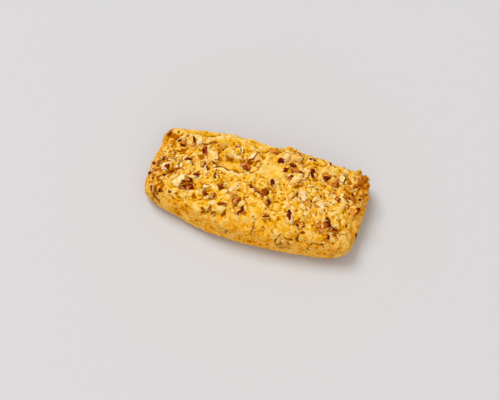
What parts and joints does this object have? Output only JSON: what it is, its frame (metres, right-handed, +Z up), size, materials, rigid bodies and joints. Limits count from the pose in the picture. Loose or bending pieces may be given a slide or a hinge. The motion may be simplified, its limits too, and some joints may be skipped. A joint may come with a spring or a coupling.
{
  "type": "pecan bar",
  "caption": "Golden baked dough bar, flat below and softly domed above, with chopped pecans set in its rough, crumbly crust.",
  "frame": {"origin": "middle of the flat base that the bar was baked on", "axes": "+X along the bar, +Z up, -Y towards the long side with the smooth crust"},
  "size_m": [0.1107, 0.0542, 0.0248],
  "materials": {
    "crust": "matt golden baked dough with pale crumb, toasted corners and satin red-brown nut skins"
  },
  "bodies": {
    "root": {"pecan_bar": "crust"}
  },
  "joints": []
}
